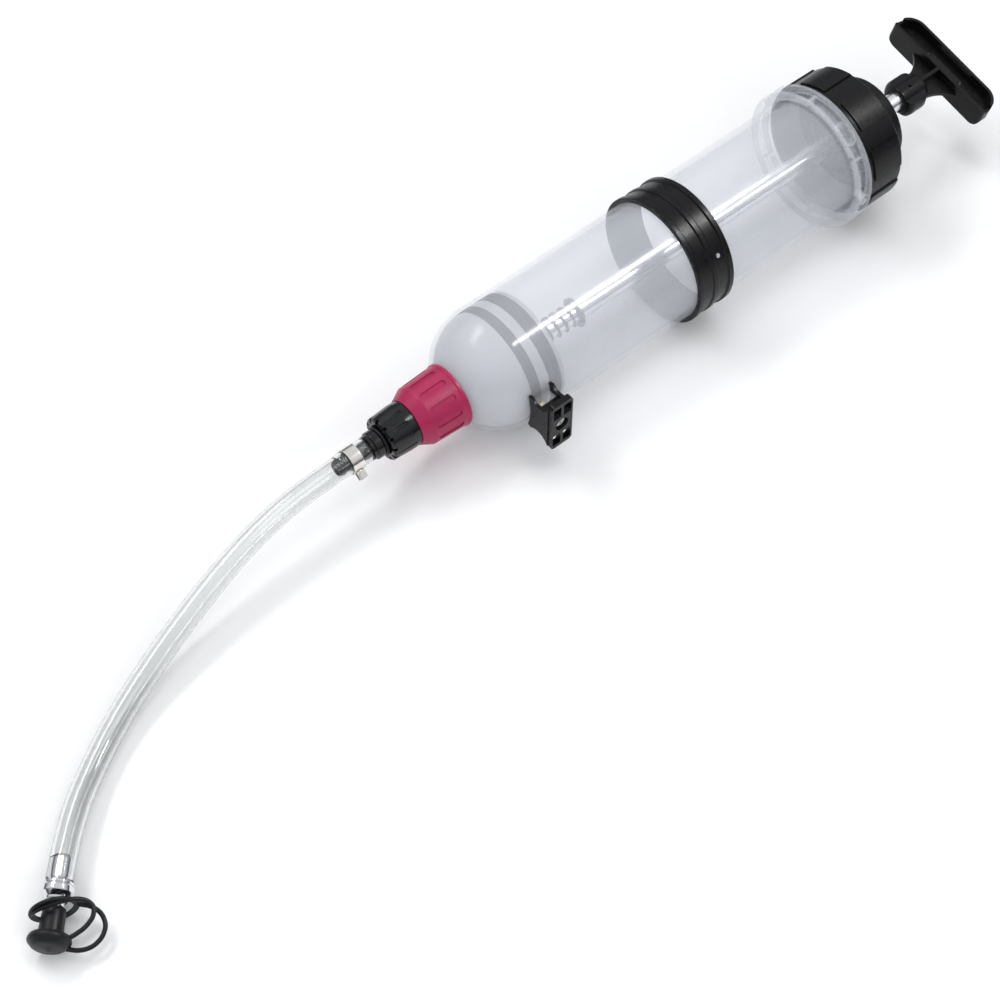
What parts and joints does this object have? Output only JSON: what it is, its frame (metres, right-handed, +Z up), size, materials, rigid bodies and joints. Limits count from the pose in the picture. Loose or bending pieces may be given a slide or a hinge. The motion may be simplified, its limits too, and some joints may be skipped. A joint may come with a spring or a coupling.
{
  "type": "fluid transfer pump",
  "caption": "Hand syringe pump for workshop fluids: clear barrel, plunger with T handle, screw cap, union nut nozzle, short clear hose with a tethered dust cap.",
  "frame": {"origin": "on the bench, under the middle of the pump as it lies, hose and dust cap left out", "axes": "+X along the barrel towards the handle, +Z up from the bench, -Y towards the hanging bracket"},
  "size_m": [0.8893, 0.2137, 0.1074],
  "materials": {
    "clear_polypropylene": "milky translucent, satin",
    "black_plastic": "fine moulded texture",
    "black_gloss_plastic": "smooth moulded",
    "crimson_plastic": "fine moulded texture",
    "natural_plastic": "opaque natural grey",
    "white_nylon": "satin",
    "grey_rubber": "moulded lip seal",
    "black_rubber": "moulded",
    "clear_pvc": "clear, glossy",
    "aluminium_tube": "drawn tube, satin",
    "steel": "zinc plated",
    "spring_steel": "plated",
    "nickel": "nickel plated",
    "chrome_fitting": "polished chrome",
    "brass_insert": "knurled insert"
  },
  "bodies": {
    "barrel": {"barrel_tube": "clear_polypropylene", "grip_band": "black_plastic", "band_rivet": "steel", "hang_bracket": "black_plastic", "bracket_screw": "steel", "bracket_insert": "brass_insert"},
    "spring_carriage": {"bumper_spring": "spring_steel", "spring_washer": "spring_steel"},
    "plunger": {"rod": "aluminium_tube", "rod_plug": "aluminium_tube", "handle": "black_plastic", "handle_pin": "steel", "piston_rear_plate": "natural_plastic", "piston_seal_rear": "grey_rubber", "piston_spacer": "natural_plastic", "piston_seal_front": "grey_rubber", "piston_nose": "natural_plastic", "piston_bolt": "steel", "piston_washer": "steel"},
    "cap_carriage": {"cap_gasket": "black_rubber"},
    "cap": {"screw_cap": "black_plastic", "rod_bush": "white_nylon", "rod_wiper": "black_rubber"},
    "nozzle": {"hose_barb": "black_gloss_plastic", "neck_o_ring": "black_rubber", "collar_washer": "white_nylon", "coupler_o_ring": "black_rubber", "clamp_band": "nickel", "clamp_screw": "nickel", "clamp_nut": "nickel", "hose": "clear_pvc", "hose_end_nipple": "chrome_fitting"},
    "collar": {"collar_nut": "crimson_plastic"},
    "coupler": {"coupler_sleeve": "black_gloss_plastic"},
    "dust_cap_body": {"dust_cap": "black_rubber", "cap_tether": "black_rubber"}
  },
  "joints": [
    {"name": "plunger_slide", "type": "slide", "parent": "barrel", "child": "spring_carriage", "axis": [0.9994, 0, 0.0332], "range_m": [0, 0.252]},
    {"name": "plunger_twist", "type": "hinge", "parent": "spring_carriage", "child": "plunger", "pos_m": [0.27639, 0.00565, 0.05829], "axis": [0.9994, 0, 0.0332], "continuous": true},
    {"name": "cap_lift", "type": "slide", "parent": "barrel", "child": "cap_carriage", "axis": [0.9994, 0, 0.0332], "range_m": [0, 0.018]},
    {"name": "cap_turn", "type": "hinge", "parent": "cap_carriage", "child": "cap", "pos_m": [0.17145, 0.00565, 0.0548], "axis": [0.9994, 0, 0.0332], "range_deg": [0, 1080]},
    {"name": "nozzle_lift", "type": "slide", "parent": "barrel", "child": "nozzle", "axis": [-0.9994, 0, -0.0332], "range_m": [0, 0.012]},
    {"name": "collar_turn", "type": "hinge", "parent": "nozzle", "child": "collar", "pos_m": [-0.20834, 0.00565, 0.04217], "axis": [-0.9994, 0, -0.0332], "range_deg": [0, 1440]},
    {"name": "coupler_turn", "type": "hinge", "parent": "nozzle", "child": "coupler", "pos_m": [-0.23833, 0.00565, 0.04118], "axis": [-0.9994, 0, -0.0332], "continuous": true},
    {"name": "dust_cap_pull", "type": "slide", "parent": "nozzle", "child": "dust_cap_body", "axis": [-0.6625, -0.749, 0], "range_m": [0, 0.016]}
  ],
  "couplings": [
    {"joint": "cap_turn", "follows": "cap_lift", "rad_per_m": 1047.2},
    {"joint": "collar_turn", "follows": "nozzle_lift", "rad_per_m": 2094.4}
  ]
}
